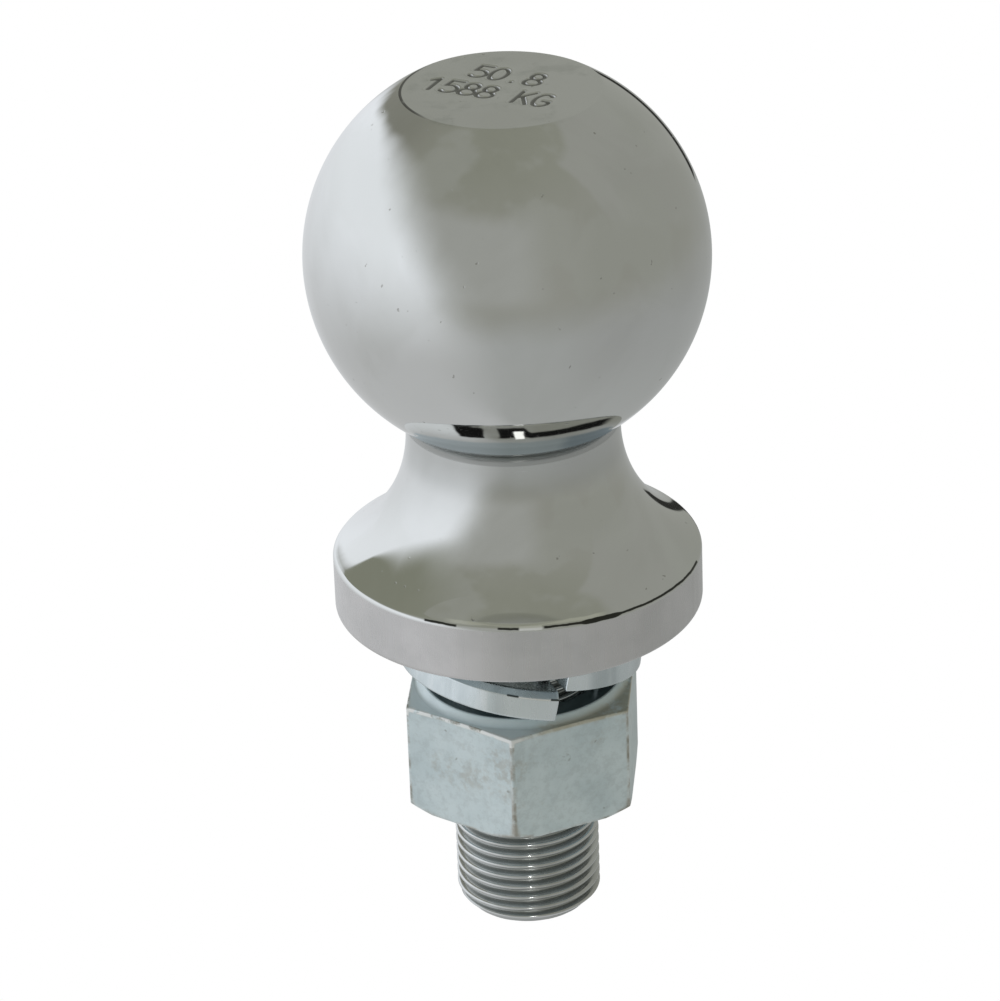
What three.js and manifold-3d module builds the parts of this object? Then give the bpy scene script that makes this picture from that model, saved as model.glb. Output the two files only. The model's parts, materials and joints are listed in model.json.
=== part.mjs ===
// Trailer hitch ball: a one-piece forging with a threaded shank, a split lock washer and a hex nut.
// Millimetres, +Z up along the shank's axis towards the ball. The origin is the centre of the
// shank's end face. The nut and the washer sit loose on the thread, with the nut backed off.

import * as THREE from "three";
import { mergeVertices } from "three/addons/utils/BufferGeometryUtils.js";
import Module from "manifold-3d";

const wasm = await Module();
wasm.setup();

// Ball, neck and flange
const BALL_RADIUS = 25.4; // 2 in ball
const FLAT_RADIUS = 12.5; // flat on top of the ball
const BALL_LIFT = 47.7; // flange seat up to the ball's centre
const NECK_RADIUS = 13.6;
const NECK_DROP = 23.4; // ball centre down to where the neck starts to flare
const FLARE_RADIUS = 20.0;
const FLANGE_RADIUS = 23.6;
const FLANGE_THICKNESS = 7.6;
const RIM_ROUND = 0.9; // rounding of the flange's upper edge
const SEAT_ROUND = 0.4; // rounding of the flange's lower edge

// Shank and its 3/4-16 thread
const SHANK_LENGTH = 44.45; // 1 3/4 in
const THREAD_RADIUS = 9.4; // over the crests of a 3/4 in thread, near its lower limit
const PITCH = 1.5875; // 16 turns to the inch
const THREAD_DEPTH = 0.97;
const TIP_CHAMFER = 1.5;
const UNDERCUT_RADIUS = 8.3; // relief between the thread and the flange
const UNDERCUT_LENGTH = 4.0;
const RUN_CLEARANCE = 0.25; // radial gap between the shank's thread and the nut's

// Hex nut
const NUT_ACROSS_FLATS = 28.575; // 1 1/8 in
const NUT_HEIGHT = 16.28; // 41/64 in
const NUT_LIFT = 17.05; // shank end up to the nut's lower face
const NUT_FACE_RADIUS = 13.0; // the raised bearing face on top
const NUT_FACE_HEIGHT = 1.3; // how far it stands above the hexagon's corners
const NUT_SHOULDER_RADIUS = 14.0; // where its sloping wall runs out onto the shoulder
const NUT_SHOULDER_RISE = 0.35; // how far the shoulder rises there from the corners
const NUT_FOOT_RADIUS = 15.0; // where the lower corners' chamfer starts
const NUT_CHAMFER = THREE.MathUtils.degToRad(30);
const NUT_TURN = THREE.MathUtils.degToRad(-5.6); // from a corner pointing to -Y
const COUNTERSINK_RADIUS = 10.2;

// Split lock washer, left-hand helix, tipped on the shank
const WASHER_INNER = 10.15;
const WASHER_OUTER = 15.65;
const WASHER_THICKNESS = 3.8;
const WASHER_BEVEL = 0.86; // on the upper outer edge
const WASHER_RISE = 4.1; // from the lower cut end to the upper one
const WASHER_SPAN = THREE.MathUtils.degToRad(356.9);
const WASHER_START = THREE.MathUtils.degToRad(-72.1); // lower cut end, from +X towards +Y
const WASHER_CUT_SLANT = THREE.MathUtils.degToRad(1);
const WASHER_LIFT = 37.22; // shank end up to the middle of the helix
const WASHER_TIP_X = THREE.MathUtils.degToRad(-5.6);
const WASHER_TIP_Y = THREE.MathUtils.degToRad(8.4);

// Facets
const LATHE_SEGMENTS = 48;
const THREAD_SEGMENTS = 24;
const WASHER_SEGMENTS = 48;

const BALL_HEIGHT = SHANK_LENGTH + BALL_LIFT;

// Points along an arc of the turned outline: x is the radius, y the height.
function arc(x, y, radius, from, to, steps) {
  return new THREE.EllipseCurve(x, y, radius, radius, from, to, to < from).getPoints(steps);
}

// A closed solid turned about Z from an outline that runs upwards, from axis to axis.
function turned(outline, segments = LATHE_SEGMENTS) {
  return toSolid(new THREE.LatheGeometry(outline, segments).rotateX(Math.PI / 2));
}

// A three.js geometry as a manifold solid, without the sliver faces that a lathe leaves on its axis.
function toSolid(geometry) {
  const bare = geometry.clone();
  bare.deleteAttribute("normal");
  bare.deleteAttribute("uv");
  const merged = mergeVertices(bare, 1e-4);
  const corners = merged.index.array;
  const kept = [];
  for (let i = 0; i < corners.length; i += 3) {
    const [a, b, c] = corners.slice(i, i + 3);
    if (a !== b && b !== c && c !== a) kept.push(a, b, c);
  }
  const vertProperties = new Float32Array(merged.attributes.position.array);
  const triVerts = new Uint32Array(kept);
  return new wasm.Manifold(new wasm.Mesh({ numProp: 3, vertProperties, triVerts }));
}

// A manifold solid back as a three.js geometry.
function toGeometry(solid) {
  const mesh = solid.getMesh();
  const geometry = new THREE.BufferGeometry();
  geometry.setAttribute("position", new THREE.BufferAttribute(mesh.vertProperties, 3));
  geometry.setIndex(new THREE.BufferAttribute(mesh.triVerts, 1));
  geometry.computeVertexNormals();
  return geometry;
}

// A rod with a right-hand V thread. It starts firstTurn pitches above z = 0, so that all threads made
// here are in step. One crest line and one root line wind up the rod, and a fan closes each end.
function threadRod(crestRadius, rootRadius, firstTurn, turns) {
  const steps = turns * THREAD_SEGMENTS;
  const lastRoot = steps - THREAD_SEGMENTS;
  const points = [];
  const faces = [];
  const addPoint = (radius, step, lift) => {
    const angle = (step / THREAD_SEGMENTS) * 2 * Math.PI;
    const z = (firstTurn + step / THREAD_SEGMENTS + lift) * PITCH;
    points.push(radius * Math.cos(angle), radius * Math.sin(angle), z);
  };
  for (let step = 0; step <= steps; step++) addPoint(crestRadius, step, 0);
  for (let step = 0; step <= lastRoot; step++) addPoint(rootRadius, step, 0.5);
  const crest = (step) => step;
  const root = (step) => steps + 1 + step;
  const addQuad = (a, b, c, d) => faces.push(a, b, c, a, c, d);
  for (let step = 0; step < lastRoot; step++) {
    const above = step + THREAD_SEGMENTS;
    addQuad(crest(step), crest(step + 1), root(step + 1), root(step));
    addQuad(root(step), root(step + 1), crest(above + 1), crest(above));
  }
  const low = points.length / 3;
  addPoint(0, 0, 0);
  faces.push(low, crest(0), root(0), low, root(0), crest(THREAD_SEGMENTS));
  for (let step = 0; step < THREAD_SEGMENTS; step++) faces.push(low, crest(step + 1), crest(step));
  const high = low + 1;
  addPoint(0, steps, 0);
  faces.push(high, root(lastRoot), crest(lastRoot), high, crest(steps), root(lastRoot));
  for (let step = lastRoot; step < steps; step++) faces.push(high, crest(step), crest(step + 1));
  const geometry = new THREE.BufferGeometry();
  geometry.setAttribute("position", new THREE.Float32BufferAttribute(points, 3));
  geometry.setIndex(faces);
  return toSolid(geometry);
}

// Ball with its flat top, neck, flange and the relief below it, as one outline.
function ballHead() {
  const flatAngle = Math.acos(FLAT_RADIUS / BALL_RADIUS);
  const neckAngle = -Math.acos(NECK_RADIUS / BALL_RADIUS);
  const rimLift = SHANK_LENGTH + FLANGE_THICKNESS - RIM_ROUND;
  const flareEnd = FLANGE_RADIUS - RIM_ROUND;
  const flareAngle = Math.PI + Math.acos((NECK_RADIUS + FLARE_RADIUS - flareEnd) / FLARE_RADIUS);
  const undercutFoot = SHANK_LENGTH - UNDERCUT_LENGTH - 1;
  return turned([
    new THREE.Vector2(0, undercutFoot),
    new THREE.Vector2(UNDERCUT_RADIUS, undercutFoot),
    new THREE.Vector2(UNDERCUT_RADIUS, SHANK_LENGTH),
    ...arc(FLANGE_RADIUS - SEAT_ROUND, SHANK_LENGTH + SEAT_ROUND, SEAT_ROUND, -Math.PI / 2, 0, 2),
    ...arc(FLANGE_RADIUS - RIM_ROUND, rimLift, RIM_ROUND, 0, Math.PI / 3, 3),
    ...arc(NECK_RADIUS + FLARE_RADIUS, BALL_HEIGHT - NECK_DROP, FLARE_RADIUS, flareAngle, Math.PI, 9),
    ...arc(0, BALL_HEIGHT, BALL_RADIUS, neckAngle, 0, 9),
    ...arc(0, BALL_HEIGHT, BALL_RADIUS, 0, flatAngle, 9).slice(1),
    new THREE.Vector2(0, BALL_HEIGHT + BALL_RADIUS * Math.sin(flatAngle)),
  ]);
}

// The outer shape that trims the threaded rod: a flat end, a chamfer and a straight side.
function shankEnvelope() {
  const side = THREAD_RADIUS + 1;
  const top = SHANK_LENGTH - UNDERCUT_LENGTH;
  return turned([
    new THREE.Vector2(0, 0),
    new THREE.Vector2(THREAD_RADIUS - TIP_CHAMFER, 0),
    new THREE.Vector2(side, TIP_CHAMFER + 1),
    new THREE.Vector2(side, top - TIP_CHAMFER - 1),
    new THREE.Vector2(THREAD_RADIUS - TIP_CHAMFER, top),
    new THREE.Vector2(0, top),
  ]);
}

function hitchBall() {
  const turns = Math.ceil(SHANK_LENGTH / PITCH) + 4;
  const rod = threadRod(THREAD_RADIUS, THREAD_RADIUS - THREAD_DEPTH, -2, turns);
  const solid = rod.intersect(shankEnvelope()).add(ballHead());
  const material = new THREE.MeshStandardMaterial({ color: 0xc9c9c6, roughness: 0.08, metalness: 1 });
  return new THREE.Mesh(toGeometry(solid), material);
}

// The turned shape that trims the hexagon: a raised bearing face above, chamfered corners below.
function nutEnvelope() {
  const reach = NUT_ACROSS_FLATS * 0.6;
  const shoulder = NUT_HEIGHT - NUT_FACE_HEIGHT;
  return turned([
    new THREE.Vector2(0, 0),
    new THREE.Vector2(NUT_FOOT_RADIUS, 0),
    new THREE.Vector2(reach, (reach - NUT_FOOT_RADIUS) * Math.tan(NUT_CHAMFER)),
    new THREE.Vector2(reach, shoulder),
    new THREE.Vector2(NUT_SHOULDER_RADIUS, shoulder + NUT_SHOULDER_RISE),
    new THREE.Vector2(NUT_FACE_RADIUS, NUT_HEIGHT),
    new THREE.Vector2(0, NUT_HEIGHT),
  ]);
}

// A cone that opens the thread at one face of the nut: foot is the narrow end's height.
function countersink(foot, mouth) {
  const narrow = new THREE.Vector2(COUNTERSINK_RADIUS - Math.abs(mouth - foot), foot);
  const wide = new THREE.Vector2(COUNTERSINK_RADIUS, mouth);
  const [low, high] = foot < mouth ? [narrow, wide] : [wide, narrow];
  return turned([new THREE.Vector2(0, low.y), low, high, new THREE.Vector2(0, high.y)], THREAD_SEGMENTS);
}

function hexNut() {
  const cornerRadius = NUT_ACROSS_FLATS / Math.sqrt(3);
  const prism = new THREE.CylinderGeometry(cornerRadius, cornerRadius, NUT_HEIGHT, 6);
  prism.rotateX(Math.PI / 2).rotateZ(NUT_TURN).translate(0, 0, NUT_HEIGHT / 2);
  const crest = THREAD_RADIUS + RUN_CLEARANCE;
  const firstTurn = Math.floor(NUT_LIFT / PITCH) - 3;
  const turns = Math.ceil(NUT_HEIGHT / PITCH) + 7;
  const thread = threadRod(crest, crest - THREAD_DEPTH, firstTurn, turns).translate([0, 0, -NUT_LIFT]);
  const solid = toSolid(prism)
    .intersect(nutEnvelope())
    .subtract(thread)
    .subtract(countersink(1.4, -0.2))
    .subtract(countersink(NUT_HEIGHT - 1.4, NUT_HEIGHT + 0.2));
  const material = new THREE.MeshStandardMaterial({ color: 0xa9b8ba, roughness: 0.38, metalness: 1 });
  const nut = new THREE.Mesh(toGeometry(solid), material);
  nut.position.z = NUT_LIFT;
  return nut;
}

// The washer's bar: x is the radius, y the height about the middle.
function washerSection() {
  const half = WASHER_THICKNESS / 2;
  return new THREE.Shape([
    new THREE.Vector2(WASHER_INNER, -half),
    new THREE.Vector2(WASHER_OUTER, -half),
    new THREE.Vector2(WASHER_OUTER, half - WASHER_BEVEL),
    new THREE.Vector2(WASHER_OUTER - WASHER_BEVEL, half),
    new THREE.Vector2(WASHER_INNER, half),
  ]);
}

// A straight bar bent into one turn of a left-hand helix: its length runs clockwise and upwards.
function lockWasher() {
  const extrusion = { depth: 1, steps: WASHER_SEGMENTS, bevelEnabled: false };
  const bar = new THREE.ExtrudeGeometry(washerSection(), extrusion);
  const place = bar.attributes.position;
  for (let i = 0; i < place.count; i++) {
    const [radius, up, along] = [place.getX(i), place.getY(i), place.getZ(i)];
    const slant = (up / WASHER_THICKNESS) * WASHER_CUT_SLANT;
    const angle = WASHER_START - along * WASHER_SPAN + slant;
    place.setXYZ(i, radius * Math.cos(angle), radius * Math.sin(angle), up + (along - 0.5) * WASHER_RISE);
  }
  const material = new THREE.MeshStandardMaterial({ color: 0xb9c4c6, roughness: 0.3, metalness: 1 });
  const washer = new THREE.Mesh(toGeometry(toSolid(bar)), material);
  washer.position.z = WASHER_LIFT;
  washer.rotation.set(WASHER_TIP_X, WASHER_TIP_Y, 0);
  return washer;
}

const group = new THREE.Group();
for (const [name, make] of Object.entries({
  hitch_ball: hitchBall,
  lock_washer: lockWasher,
  hex_nut: hexNut,
})) {
  const mesh = make();
  mesh.name = name;
  group.add(mesh);
}

export default group;
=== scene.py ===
"""The looks of a trailer hitch ball: a chromed forging, a split lock washer and a hex nut.

Metres, +Z up, with the camera on the -Y side. Outlines are written in millimetres and scaled by MM.
The CAD frame gives the heights of the mount faces and the box of each node; everything else is a
driving dimension of the same object, named below."""

import json
import math

import bmesh
import bpy
import numpy as np
from mathutils import Matrix, Vector
from mathutils.geometry import delaunay_2d_cdt


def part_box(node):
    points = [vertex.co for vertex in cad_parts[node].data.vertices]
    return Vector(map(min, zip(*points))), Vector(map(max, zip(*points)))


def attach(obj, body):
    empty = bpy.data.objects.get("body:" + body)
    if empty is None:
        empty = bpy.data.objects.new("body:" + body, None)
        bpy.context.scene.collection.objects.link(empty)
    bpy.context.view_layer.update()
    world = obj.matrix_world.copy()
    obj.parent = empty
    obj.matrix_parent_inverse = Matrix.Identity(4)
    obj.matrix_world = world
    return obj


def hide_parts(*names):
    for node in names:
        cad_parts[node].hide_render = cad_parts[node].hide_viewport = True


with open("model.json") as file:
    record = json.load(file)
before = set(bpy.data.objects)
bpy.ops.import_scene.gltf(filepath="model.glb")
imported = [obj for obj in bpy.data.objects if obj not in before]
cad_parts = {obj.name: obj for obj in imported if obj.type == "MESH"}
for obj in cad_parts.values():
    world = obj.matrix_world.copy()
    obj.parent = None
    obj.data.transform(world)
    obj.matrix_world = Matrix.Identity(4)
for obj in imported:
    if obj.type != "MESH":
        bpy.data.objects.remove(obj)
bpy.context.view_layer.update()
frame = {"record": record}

MM = 0.001
MOUNTS = {m["name"]: [c / MM for c in m["pos_m"]] for m in frame["record"]["mounts"]}

# Ball, neck and flange, in millimetres
SEAT_Z = MOUNTS["flange_seat"][2]
FLAT_Z = MOUNTS["ball_flat"][2]
BALL_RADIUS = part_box("hitch_ball")[1].x / MM
FLAT_RADIUS = 12.5
BALL_Z = FLAT_Z - math.sqrt(BALL_RADIUS**2 - FLAT_RADIUS**2)
FLAT_EDGE = 0.3
NECK_RADIUS = 13.6
NECK_FILLET = 2.0
FLARE_Z = BALL_Z - 23.4
FLARE_RADIUS = 20.0
FLANGE_RADIUS = 23.6
RIM_ROUND = 0.75
SEAT_ROUND = 0.4

# Shank and thread
THREAD_RADIUS = 9.4
THREAD_DEPTH = 0.93
PITCH = 1.5875
TIP_CHAMFER = 1.5
UNDERCUT_RADIUS = 8.3
UNDERCUT_FOOT = SEAT_Z - 4.0

# Hex nut
NUT_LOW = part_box("hex_nut")[0].z / MM
NUT_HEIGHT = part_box("hex_nut")[1].z / MM - NUT_LOW
NUT_ACROSS_FLATS = 28.575
NUT_FACE_RADIUS = 13.0
NUT_FACE_HEIGHT = 1.3
NUT_SHOULDER_RADIUS = 14.05
NUT_SHOULDER_SLOPE = 0.111
NUT_FOOT_RADIUS = 15.0
NUT_CORNER_ROUND = 0.3
NUT_CHAMFER = math.radians(30)
NUT_TURN = math.radians(-5.6)
NUT_BORE_RADIUS = 10.2
RUN_CLEARANCE = 0.25

# Split lock washer
WASHER_INNER = 10.15
WASHER_OUTER = 15.65
WASHER_THICKNESS = 3.8
WASHER_BEVEL = 0.86
WASHER_RISE = 4.1
WASHER_SPAN = math.radians(356.9)
WASHER_START = math.radians(-72.1)
WASHER_SLANT = math.radians(1)
WASHER_LIFT = 37.22
WASHER_TIP_X = math.radians(-5.6)
WASHER_TIP_Y = math.radians(8.4)

# Mesh fineness
BALL_COLUMNS = 256
THREAD_COLUMNS = 128
BORE_COLUMNS = 96
THREAD_ROWS = 14  # to one pitch


# ---------------------------------------------------------------- outlines and meshes

def arc(x, y, radius, start, end, steps):
    """Points on an arc of an outline, from one angle to another, in degrees."""
    turns = np.radians(np.linspace(start, end, steps + 1))
    return [(x + radius * math.cos(t), y + radius * math.sin(t)) for t in turns]


def straight(a, b, steps=1, lead=0.12):
    """Points strictly between a and b: one close to each end, to keep shading flat, and even steps."""
    length = math.dist(a, b)
    shares = [lead / length, *np.linspace(0, 1, steps + 1)[1:-1], 1 - lead / length]
    return [(a[0] + (b[0] - a[0]) * s, a[1] + (b[1] - a[1]) * s) for s in shares]


def ring(bm, radius, z, columns):
    """A loop of vertices round the Z axis."""
    turns = np.arange(columns) * 2 * math.pi / columns
    return [bm.verts.new((radius * math.cos(t), radius * math.sin(t), z)) for t in turns]


def skin(bm, lower, upper):
    """Quads between two loops with as many vertices each, facing away from the axis."""
    count = len(lower)
    for i in range(count):
        j = (i + 1) % count
        bm.faces.new((lower[i], lower[j], upper[j], upper[i]))


def by_angle(verts):
    return sorted(verts, key=lambda v: math.atan2(v.co.y, v.co.x))


def zip_loops(bm, lower, upper, inward=False):
    """Triangles between two loops round the axis that have different numbers of vertices."""
    lower, upper = by_angle(lower), by_angle(upper)
    turn = [[math.atan2(v.co.y, v.co.x) for v in loop] for loop in (lower, upper)]
    turn = [angles + [angles[0] + 2 * math.pi] for angles in turn]
    a = b = 0
    while a < len(lower) or b < len(upper):
        va, vb = lower[a % len(lower)], upper[b % len(upper)]
        take_lower = b >= len(upper) or (a < len(lower) and turn[0][a + 1] <= turn[1][b + 1])
        if take_lower:
            corners = (va, lower[(a + 1) % len(lower)], vb)
            a += 1
        else:
            corners = (va, upper[(b + 1) % len(upper)], vb)
            b += 1
        bm.faces.new(corners[::-1] if inward else corners)


ON_PLANE = 1e-5


def loop_at(bm, z):
    """The open boundary vertices that lie at height z."""
    edges = [e for e in bm.edges if e.is_boundary]
    return list(dict.fromkeys(v for e in edges for v in e.verts if abs(v.co.z - z) < ON_PLANE))


def helical_skin(bm, radius_at, low, high, columns, inward=False):
    """A thread's surface: rows of vertices wind up the axis, and the last column joins the first one
    a whole turn higher. radius_at(share of a pitch, z) is its radius. It is cut flat at low and high,
    and the loops at those two heights are returned."""
    first = math.floor(low / PITCH) - 2
    rows = (math.ceil(high / PITCH) + 1 - first) * THREAD_ROWS
    row = np.arange(rows)[None, :] / THREAD_ROWS + first
    column = np.arange(columns)[:, None] / columns
    z = (row + column) * PITCH
    radius = radius_at(np.broadcast_to(row % 1.0, z.shape), z)
    x, y = radius * np.cos(column * 2 * math.pi), radius * np.sin(column * 2 * math.pi)
    grid = [[bm.verts.new(p) for p in zip(x[i], y[i], z[i])] for i in range(columns)]
    faces = []
    for i in range(columns):
        here, there = grid[i], grid[(i + 1) % columns]
        shift = THREAD_ROWS if i == columns - 1 else 0
        for j in range(rows - 1 - shift):
            corners = (here[j], there[j + shift], there[j + 1 + shift], here[j + 1])
            faces.append(bm.faces.new(corners[::-1] if inward else corners))
    for height, up in ((low, -1), (high, 1)):
        live = [f for f in faces if f.is_valid]
        verts = dict.fromkeys(v for f in live for v in f.verts)
        geom = [*verts, *dict.fromkeys(e for f in live for e in f.edges), *live]
        plane = {"dist": 1e-6, "plane_co": (0, 0, height), "plane_no": (0, 0, up)}
        cut = bmesh.ops.bisect_plane(bm, geom=geom, clear_outer=True, **plane)
        faces = [g for g in cut["geom"] if isinstance(g, bmesh.types.BMFace)]
    return loop_at(bm, low), loop_at(bm, high)


CREST_HALF = 0.09  # of a pitch
FLANK_WIDTH = 0.30
FLANK_STRAIGHT = 0.45  # share of the flank's shape that is straight; the rest is rounded


def thread_share(share):
    """How deep the thread is at a share of the pitch, from 0 at the crest to 1 at the root."""
    away = np.minimum(share, 1 - share)
    flank = np.clip((away - CREST_HALF) / FLANK_WIDTH, 0, 1)
    rounded = flank * flank * (3 - 2 * flank)
    return FLANK_STRAIGHT * flank + (1 - FLANK_STRAIGHT) * rounded


def make_piece(name, bm, materials, body, node):
    """A finished object in metres, riding on its body in place of its CAD node."""
    bmesh.ops.transform(bm, matrix=Matrix.Scale(MM, 4), verts=bm.verts)
    mesh = bpy.data.meshes.new(name)
    bm.to_mesh(mesh)
    bm.free()
    for material in materials:
        mesh.materials.append(material)
    mesh.shade_smooth()
    piece = bpy.data.objects.new(name, mesh)
    bpy.context.scene.collection.objects.link(piece)
    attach(piece, body)
    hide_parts(node)
    return piece


# ---------------------------------------------------------------- the stamp on the flat

STAMP_TURN = math.radians(-26.7)
STAMP_CENTRE = (-1.6, -0.7)
STAMP_HEIGHT = 3.7
STAMP_ADVANCE = 2.45
STAMP_LINES = (("50.8", (0.0, 5.7)), ("1588 KG", (0.0, 0.0)))
GROOVE_DEPTH = 0.24
GROOVE_HALF_WIDTH = 0.27
GROOVE_LIP = 0.03
GROOVE_LIP_PLACE = 0.5
GROOVE_LIP_WIDTH = 0.14
FINE_STEP, COARSE_STEP = 0.085, 0.7
FINE_REACH, COARSE_START = 0.75, 0.85  # from the nearest stroke
RIM_GAP = 0.25


def bowl(x, y, rx, ry, start, end, steps=14):
    """Points on an arc of an ellipse, for a letter in a box of height 1."""
    turns = np.radians(np.linspace(start, end, steps + 1))
    return [(x + rx * math.cos(t), y + ry * math.sin(t)) for t in turns]


GLYPHS = {
    "0": [bowl(0.3, 0.5, 0.27, 0.5, 0, 360, 24)],
    "1": [[(0.1, 0.78), (0.32, 1.0), (0.32, 0.0)]],
    "5": [[(0.55, 1.0), (0.12, 1.0), (0.07, 0.56), *bowl(0.28, 0.31, 0.29, 0.31, 110, -140)]],
    "8": [bowl(0.3, 0.76, 0.22, 0.24, 0, 360, 18), bowl(0.3, 0.26, 0.28, 0.26, 0, 360, 20)],
    ".": [[(0.3, 0.0), (0.3, 0.03)]],
    "K": [[(0.06, 0.0), (0.06, 1.0)], [(0.54, 1.0), (0.06, 0.4)], [(0.22, 0.6), (0.58, 0.0)]],
    "G": [[*bowl(0.33, 0.5, 0.3, 0.5, 50, 325), (0.58, 0.45), (0.36, 0.45)]],
}


def stamp_strokes():
    """Every stroke of the stamp as segments on the flat, in millimetres."""
    segments = []
    for text, (shift, lift) in STAMP_LINES:
        for place, letter in enumerate(text):
            left = (place - len(text) / 2) * STAMP_ADVANCE + shift
            for stroke in GLYPHS.get(letter, []):
                spots = [(left + x * STAMP_HEIGHT, lift + (y - 0.5) * STAMP_HEIGHT) for x, y in stroke]
                segments += zip(spots[:-1], spots[1:])
    cos, sin = math.cos(STAMP_TURN), math.sin(STAMP_TURN)
    turned = np.array(segments) @ np.array([[cos, sin], [-sin, cos]])
    return turned + np.array(STAMP_CENTRE)


def stroke_distance(points, segments):
    """Each point's distance to the nearest stroke."""
    nearest = np.full(len(points), np.inf)
    for a, b in segments:
        along = b - a
        share = np.clip(((points - a) @ along) / max(along @ along, 1e-9), 0, 1)
        gap = points - (a + share[:, None] * along)
        nearest = np.minimum(nearest, np.hypot(gap[:, 0], gap[:, 1]))
    return nearest


def stamped_flat(bm, rim):
    """The flat inside the loop rim, as a triangulated patch that is fine around the stamp. The vertex
    layer "groove" says how deep in a stroke a point is."""
    groove = bm.verts.layers.float["groove"]
    reach = math.hypot(rim[0].co.x, rim[0].co.y)
    segments = stamp_strokes()

    def lattice(step):
        line = np.arange(-reach, reach, step)
        return np.stack(np.meshgrid(line, line), -1).reshape(-1, 2) + step / 3

    fine, coarse = lattice(FINE_STEP), lattice(COARSE_STEP)
    fine = fine[stroke_distance(fine, segments) < FINE_REACH]
    coarse = coarse[stroke_distance(coarse, segments) > COARSE_START]
    inner = np.concatenate([fine, coarse])
    inner = inner[np.hypot(inner[:, 0], inner[:, 1]) < reach - RIM_GAP]
    gap = stroke_distance(inner, segments)
    share = np.exp(-((gap / GROOVE_HALF_WIDTH) ** 3))
    lip = np.exp(-(((gap - GROOVE_LIP_PLACE) / GROOVE_LIP_WIDTH) ** 2))
    lift = GROOVE_LIP * lip - GROOVE_DEPTH * share
    flat = [Vector((v.co.x, v.co.y)) for v in rim] + [Vector(p) for p in inner]
    edges = [(i, (i + 1) % len(rim)) for i in range(len(rim))]
    points, _, faces, origins, _, _ = delaunay_2d_cdt(flat, edges, [], 1, 1e-6, True)
    verts = []
    for point, origin in zip(points, origins):
        if origin[0] < len(rim):
            verts.append(rim[origin[0]])
        else:
            place = origin[0] - len(rim)
            verts.append(bm.verts.new((point.x, point.y, FLAT_Z + lift[place])))
            verts[-1][groove] = share[place]
    for face in faces:
        corners = [verts[i] for i in face]
        (ax, ay, _), (bx, by, _), (cx, cy, _) = (v.co for v in corners)
        if (bx - ax) * (cy - ay) < (by - ay) * (cx - ax):
            corners.reverse()
        bm.faces.new(corners)


# ---------------------------------------------------------------- the forging

CHROME, SATIN, STEEL = 0, 1, 2
RELIEF_ROUND = 0.4
SHANK_STEP = 0.9  # below the seat, where the shank's own steel starts


def neck_fillet():
    """Centre and angles of the small fillet between the ball and the neck."""
    x = NECK_RADIUS + NECK_FILLET
    drop = math.sqrt((BALL_RADIUS + NECK_FILLET) ** 2 - x**2)
    return x, BALL_Z - drop, math.degrees(math.atan2(drop, -x))


def rim_round():
    """Where the rim's rounding leaves the flare: its centre height and angle, in degrees."""
    x = FLANGE_RADIUS - RIM_ROUND
    flare_x = NECK_RADIUS + FLARE_RADIUS
    drop = math.sqrt((FLARE_RADIUS + RIM_ROUND) ** 2 - (flare_x - x) ** 2)
    return x, FLARE_Z - drop, math.degrees(math.atan2(drop, flare_x - x))


def head_outline():
    """(radius, z, material) down the forging, from just inside the flat to the relief."""
    flat_x = math.sqrt((BALL_RADIUS - FLAT_EDGE) ** 2 - (FLAT_Z - FLAT_EDGE - BALL_Z) ** 2)
    flat_turn = math.degrees(math.atan2(FLAT_Z - FLAT_EDGE - BALL_Z, flat_x))
    fillet_x, fillet_z, fillet_turn = neck_fillet()
    rim_x, rim_z, rim_turn = rim_round()
    side_top, side_foot = (FLANGE_RADIUS, rim_z), (FLANGE_RADIUS, SEAT_Z + SEAT_ROUND)
    seat_edge = (FLANGE_RADIUS - SEAT_ROUND, SEAT_Z)
    relief = (UNDERCUT_RADIUS + RELIEF_ROUND, SEAT_Z)
    chrome = [(flat_x - 0.1, FLAT_Z), *arc(flat_x, FLAT_Z - FLAT_EDGE, FLAT_EDGE, 90, flat_turn, 5)]
    chrome += arc(0, BALL_Z, BALL_RADIUS, flat_turn, fillet_turn - 180, 110)[1:]
    chrome += arc(fillet_x, fillet_z, NECK_FILLET, fillet_turn, 180, 5)[1:]
    chrome += straight((NECK_RADIUS, fillet_z), (NECK_RADIUS, FLARE_Z), 1)
    chrome += arc(NECK_RADIUS + FLARE_RADIUS, FLARE_Z, FLARE_RADIUS, 180, 180 + rim_turn, 48)
    chrome += arc(rim_x, rim_z, RIM_ROUND, rim_turn, 0, 8)[1:]
    satin = [*straight(side_top, side_foot, 5), side_foot]
    satin += arc(seat_edge[0], SEAT_Z + SEAT_ROUND, SEAT_ROUND, 0, -90, 5)[1:]
    steel = [*straight(seat_edge, relief, 10), relief]
    steel += arc(relief[0], SEAT_Z - RELIEF_ROUND, RELIEF_ROUND, 90, 180, 4)[1:]
    steel += [(UNDERCUT_RADIUS, SEAT_Z - 1.0)]
    parts = ((chrome, CHROME), (satin, SATIN), (steel, STEEL))
    return [(r, z, kind) for points, kind in parts for r, z in points]


RIM_LIP = 0.7
RIM_LIP_TURN = math.radians(-20)
RIM_LIP_WIDTH = 8.5


def rim_lip(x, y, z):
    """How far the flange's upper edge stands up at a point: the forging is fuller at its front left.
    The lift grows gently and ends level at the rim, so that the flare never turns hollow there."""
    out = math.hypot(x, y)
    rim_z = rim_round()[1]
    if not SEAT_Z < z < FLARE_Z or out < FLANGE_RADIUS - RIM_LIP_WIDTH:
        return 0.0
    share = (out - FLANGE_RADIUS + RIM_LIP_WIDTH) / RIM_LIP_WIDTH
    share = share * share * (3 - 2 * share)
    if z < rim_z:
        share = (z - SEAT_Z) / (rim_z - SEAT_Z)
    facing = max(0.0, math.cos(math.atan2(x, -y) - RIM_LIP_TURN))
    return RIM_LIP * facing * share


FAR_FROM_RIM = -9.0


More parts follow.
